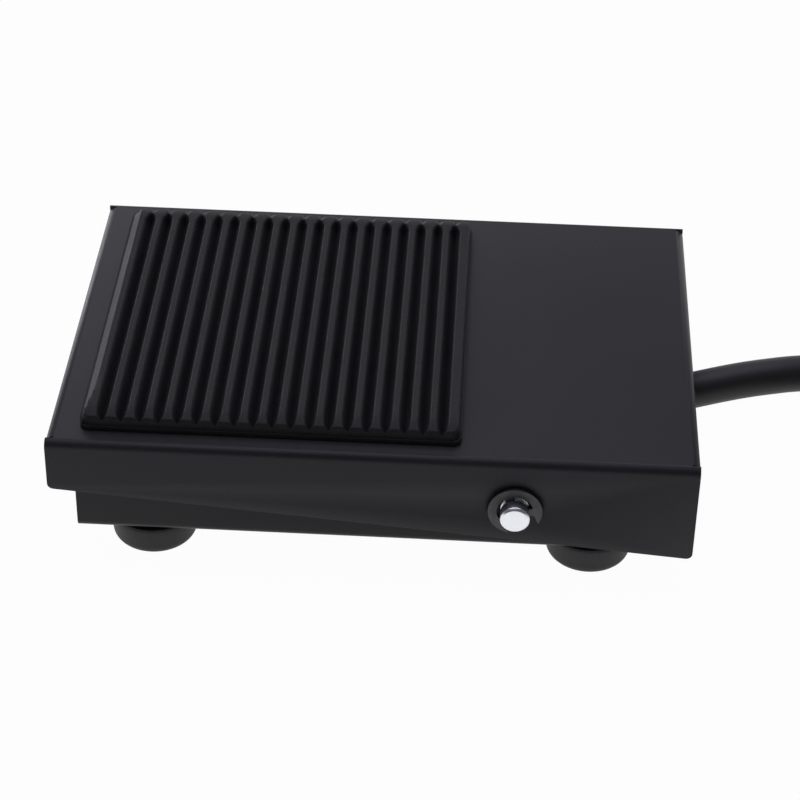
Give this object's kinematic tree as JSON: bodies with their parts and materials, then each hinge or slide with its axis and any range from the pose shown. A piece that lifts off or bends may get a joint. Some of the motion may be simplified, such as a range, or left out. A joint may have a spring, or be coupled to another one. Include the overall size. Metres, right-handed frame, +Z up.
{
  "type": "foot switch",
  "caption": "Low foot switch: folded steel pedal with a ribbed rubber tread, hinged over a tray on rubber feet, with a snap switch and a lead.",
  "frame": {"origin": "centre of the footprint, on the floor under the rubber feet", "axes": "+X along the pedal from the toe end to the lead end, +Y across it to the rear side, +Z up"},
  "size_m": [0.2052, 0.0957, 0.0256],
  "materials": {
    "cover_paint": "fine satin powder coat",
    "tray_paint": "fine satin powder coat",
    "tread_rubber": "matt, grainy",
    "foot_rubber": "matt",
    "grommet_rubber": "matt",
    "pin_steel": "bright turned",
    "dark_steel": "dark phosphated",
    "spring_steel": "drawn wire and rolled strip",
    "zinc_steel": "zinc plated",
    "white_plastic": "moulded",
    "black_plastic": "moulded",
    "red_plastic": "moulded",
    "sleeve_plastic": "translucent grey",
    "contact_brass": "stamped, plain",
    "brown_insulation": "smooth PVC",
    "blue_insulation": "smooth PVC",
    "black_insulation": "smooth PVC",
    "lead_jacket": "smooth satin PVC",
    "copper": "tinned copper strands"
  },
  "bodies": {
    "base": {"base_tray": "tray_paint", "hinge_pin": "pin_steel", "retaining_clips": "dark_steel", "return_spring": "spring_steel", "spring_seat": "white_plastic", "foot_front_toe": "foot_rubber", "foot_front_lead": "foot_rubber", "foot_rear_toe": "foot_rubber", "foot_rear_lead": "foot_rubber", "foot_screws": "zinc_steel", "foot_washers": "zinc_steel", "foot_nuts": "zinc_steel", "switch_bracket": "zinc_steel", "bracket_rivets": "zinc_steel", "switch_screws": "zinc_steel", "switch_nuts": "zinc_steel", "switch_case": "black_plastic", "switch_lid": "black_plastic", "common_terminal": "contact_brass", "open_terminal": "contact_brass", "closed_terminal": "contact_brass", "wire_sleeves": "sleeve_plastic", "common_wire": "brown_insulation", "open_wire": "blue_insulation", "closed_wire": "black_insulation", "lead_grommet": "grommet_rubber", "lead_clamp": "white_plastic", "clamp_screws": "zinc_steel", "inner_lead": "lead_jacket", "lead": "lead_jacket", "lead_coil": "lead_jacket", "lead_tie": "black_plastic", "brown_core": "brown_insulation", "blue_core": "blue_insulation", "black_core": "black_insulation", "bare_strands": "copper"},
    "pedal": {"pedal_cover": "cover_paint", "tread_pad": "tread_rubber", "spring_peg": "zinc_steel", "striker_block": "zinc_steel"},
    "lever": {"switch_lever": "spring_steel"},
    "plunger": {"switch_plunger": "red_plastic"},
    "contact_arm": {"moving_contact": "contact_brass"}
  },
  "joints": [
    {"name": "pedal_hinge", "type": "hinge", "parent": "base", "child": "pedal", "pos_m": [0.02112, 0, 0.0147], "axis": [0, -1, 0], "range_deg": [0, 3.5], "stiffness_Nm_per_rad": 7.2, "springref_deg": -3.44, "deforming": ["return_spring"]},
    {"name": "lever_hinge", "type": "hinge", "parent": "base", "child": "lever", "pos_m": [0.0043, 0, 0.01795], "axis": [0, -1, 0], "range_deg": [0, 7.2]},
    {"name": "plunger_slide", "type": "slide", "parent": "base", "child": "plunger", "axis": [0, 0, -1], "range_m": [0, 0.00053]},
    {"name": "contact_hinge", "type": "hinge", "parent": "base", "child": "contact_arm", "pos_m": [-0.01175, 0, 0.0145], "axis": [0, 1, 0], "range_deg": [0, 2.6]}
  ],
  "couplings": [
    {"joint": "lever_hinge", "follows": "pedal_hinge", "ratio": 2.0511},
    {"joint": "plunger_slide", "follows": "pedal_hinge", "m_per_rad": 0.0086147},
    {"joint": "contact_hinge", "follows": "pedal_hinge", "ratio": 0.72698}
  ]
}
